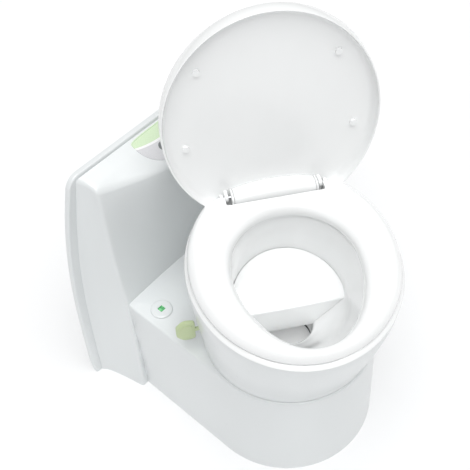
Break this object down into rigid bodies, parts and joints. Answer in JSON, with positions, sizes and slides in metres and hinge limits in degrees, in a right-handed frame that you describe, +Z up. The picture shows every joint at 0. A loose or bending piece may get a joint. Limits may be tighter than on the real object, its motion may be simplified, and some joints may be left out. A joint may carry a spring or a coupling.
{
  "type": "cassette toilet",
  "caption": "Caravan cassette toilet: swivelling bowl with seat and hinged lid on a bench, wall console with flush keys, slide-out waste tank with spout, valve blade and wheels.",
  "frame": {"origin": "on the floor, under the vertical axis about which the bowl swivels, at the centre of the bench's round front", "axes": "+Z up; +Y towards the vehicle wall behind the toilet; +X to the right of a person facing the wall"},
  "size_m": [0.5093, 0.5679, 0.8615],
  "materials": {
    "white_shell": "glossy moulded thermoplastic",
    "white_bowl": "high-gloss white inner bowl",
    "white_seat": "glossy white moulded seat",
    "lever_green": "satin olive green plastic",
    "panel_green": "pale green printed membrane",
    "lens_green": "clear green window",
    "black_rubber": "matt black rubber",
    "steel": "stainless steel",
    "tank_plastic": "satin light grey blow-moulded plastic",
    "grey_plastic": "matt mid-grey moulded plastic",
    "bearing_plastic": "natural low-friction plastic",
    "board_green": "circuit board laminate",
    "valve_body": "black valve body"
  },
  "bodies": {
    "housing": {"bench_shell": "white_shell", "console_shell": "white_shell", "wall_flange": "white_shell", "base_plate": "white_shell", "gauge_housing": "white_shell", "gauge_window": "lens_green", "control_panel": "white_shell", "panel_overlay": "panel_green", "level_lamp": "lens_green", "control_board": "board_green", "bearing_ring": "bearing_plastic", "union_stator": "grey_plastic", "solenoid_valve": "valve_body", "water_inlet": "grey_plastic", "supply_pipe": "black_rubber"},
    "bowl": {"bowl_shell": "white_shell", "lever_scoop": "white_shell", "bowl_rim": "white_bowl", "bowl_liner": "white_bowl", "bowl_funnel": "white_bowl", "bowl_shelf": "white_bowl", "turntable": "white_shell", "keeper_ring": "bearing_plastic", "keeper_screws": "steel", "union_rotor": "grey_plastic", "feed_pipe": "black_rubber", "hinge_bar": "white_seat", "hinge_pins": "steel"},
    "lever": {"lever_arm": "grey_plastic", "lever_paddle": "lever_green"},
    "seat": {"seat_ring": "white_seat", "seat_bumpers": "black_rubber"},
    "lid": {"lid_panel": "white_seat", "lid_bumpers": "white_seat"},
    "large_flush_key": {"flush_button": "grey_plastic"},
    "small_flush_key": {"flush_small_button": "grey_plastic"},
    "dial": {"gauge_dial": "lever_green"},
    "tank": {"tank_shell": "tank_plastic", "inlet_ring": "grey_plastic", "lip_seal": "black_rubber", "cover_rails": "tank_plastic", "vent_spring": "steel", "grip_brackets": "grey_plastic"},
    "blade": {"valve_blade": "grey_plastic"},
    "cover": {"slide_cover": "tank_plastic"},
    "float": {"float_arm": "grey_plastic", "float_bob": "tank_plastic"},
    "spout": {"spout_elbow": "tank_plastic"},
    "cap": {"spout_cap": "lever_green", "cap_seal": "black_rubber"},
    "vent": {"vent_plunger": "lever_green"},
    "grip": {"tank_grip": "grey_plastic"},
    "wheelset": {"tank_axle": "steel", "tank_wheels": "grey_plastic"}
  },
  "joints": [
    {"name": "bowl_swivel", "type": "hinge", "parent": "housing", "child": "bowl", "pos_m": [0, 0, 0.245], "axis": [0, 0, 1], "range_deg": [-53.9, 126.1]},
    {"name": "lid_hinge", "type": "hinge", "parent": "bowl", "child": "lid", "pos_m": [0.08013, 0.10989, 0.497], "axis": [-0.808, 0.5892, 0], "range_deg": [-98.3, 0]},
    {"name": "seat_hinge", "type": "hinge", "parent": "bowl", "child": "seat", "pos_m": [0.08013, 0.10989, 0.497], "axis": [-0.808, 0.5892, 0], "range_deg": [0, 92]},
    {"name": "lever_swing", "type": "hinge", "parent": "bowl", "child": "lever", "pos_m": [0, 0, 0.258], "axis": [0, 0, -1], "range_deg": [0, 26]},
    {"name": "large_flush_press", "type": "slide", "parent": "housing", "child": "large_flush_key", "axis": [0, 0.4179, -0.9085], "range_m": [0, 0.0025], "stiffness_N_per_m": 400, "springref_m": -0.0005},
    {"name": "small_flush_press", "type": "slide", "parent": "housing", "child": "small_flush_key", "axis": [0, 0.4179, -0.9085], "range_m": [0, 0.0025], "stiffness_N_per_m": 400, "springref_m": -0.0005},
    {"name": "dial_turn", "type": "hinge", "parent": "housing", "child": "dial", "pos_m": [-0.135, 0.212, 0.24], "axis": [0, 0, 1], "range_deg": [0, 90]},
    {"name": "tank_slide", "type": "slide", "parent": "housing", "child": "tank", "axis": [0, 1, 0], "range_m": [0, 0.46]},
    {"name": "blade_swing", "type": "hinge", "parent": "tank", "child": "blade", "pos_m": [-0.095, 0.045, 0.19], "axis": [0, 0, 1], "range_deg": [0, 63]},
    {"name": "cover_slide", "type": "slide", "parent": "tank", "child": "cover", "axis": [0, -1, 0], "range_m": [0, 0.136]},
    {"name": "float_lift", "type": "hinge", "parent": "tank", "child": "float", "pos_m": [-0.118, 0.19, 0.168], "axis": [0, -1, 0], "range_deg": [0, 42]},
    {"name": "spout_swing", "type": "hinge", "parent": "tank", "child": "spout", "pos_m": [0.096, 0.268, 0.14], "axis": [0, 0, -1], "range_deg": [0, 90]},
    {"name": "cap_turn", "type": "hinge", "parent": "spout", "child": "cap", "pos_m": [-0.054, 0.268, 0.16], "axis": [-1, 0, 0], "continuous": true},
    {"name": "vent_press", "type": "slide", "parent": "tank", "child": "vent", "axis": [0, 0, -1], "range_m": [0, 0.005], "stiffness_N_per_m": 500, "springref_m": -0.001, "deforming": ["vent_spring"]},
    {"name": "grip_fold", "type": "hinge", "parent": "tank", "child": "grip", "pos_m": [0, 0.331, 0.096], "axis": [1, 0, 0], "range_deg": [0, 95]},
    {"name": "wheel_spin", "type": "hinge", "parent": "tank", "child": "wheelset", "pos_m": [0, -0.06, 0.022], "axis": [-1, 0, 0], "continuous": true}
  ],
  "couplings": [
    {"joint": "blade_swing", "follows": "lever_swing", "ratio": 2.423},
    {"joint": "dial_turn", "follows": "float_lift", "ratio": 2.1428},
    {"joint": "wheel_spin", "follows": "tank_slide", "rad_per_m": 54.054}
  ]
}
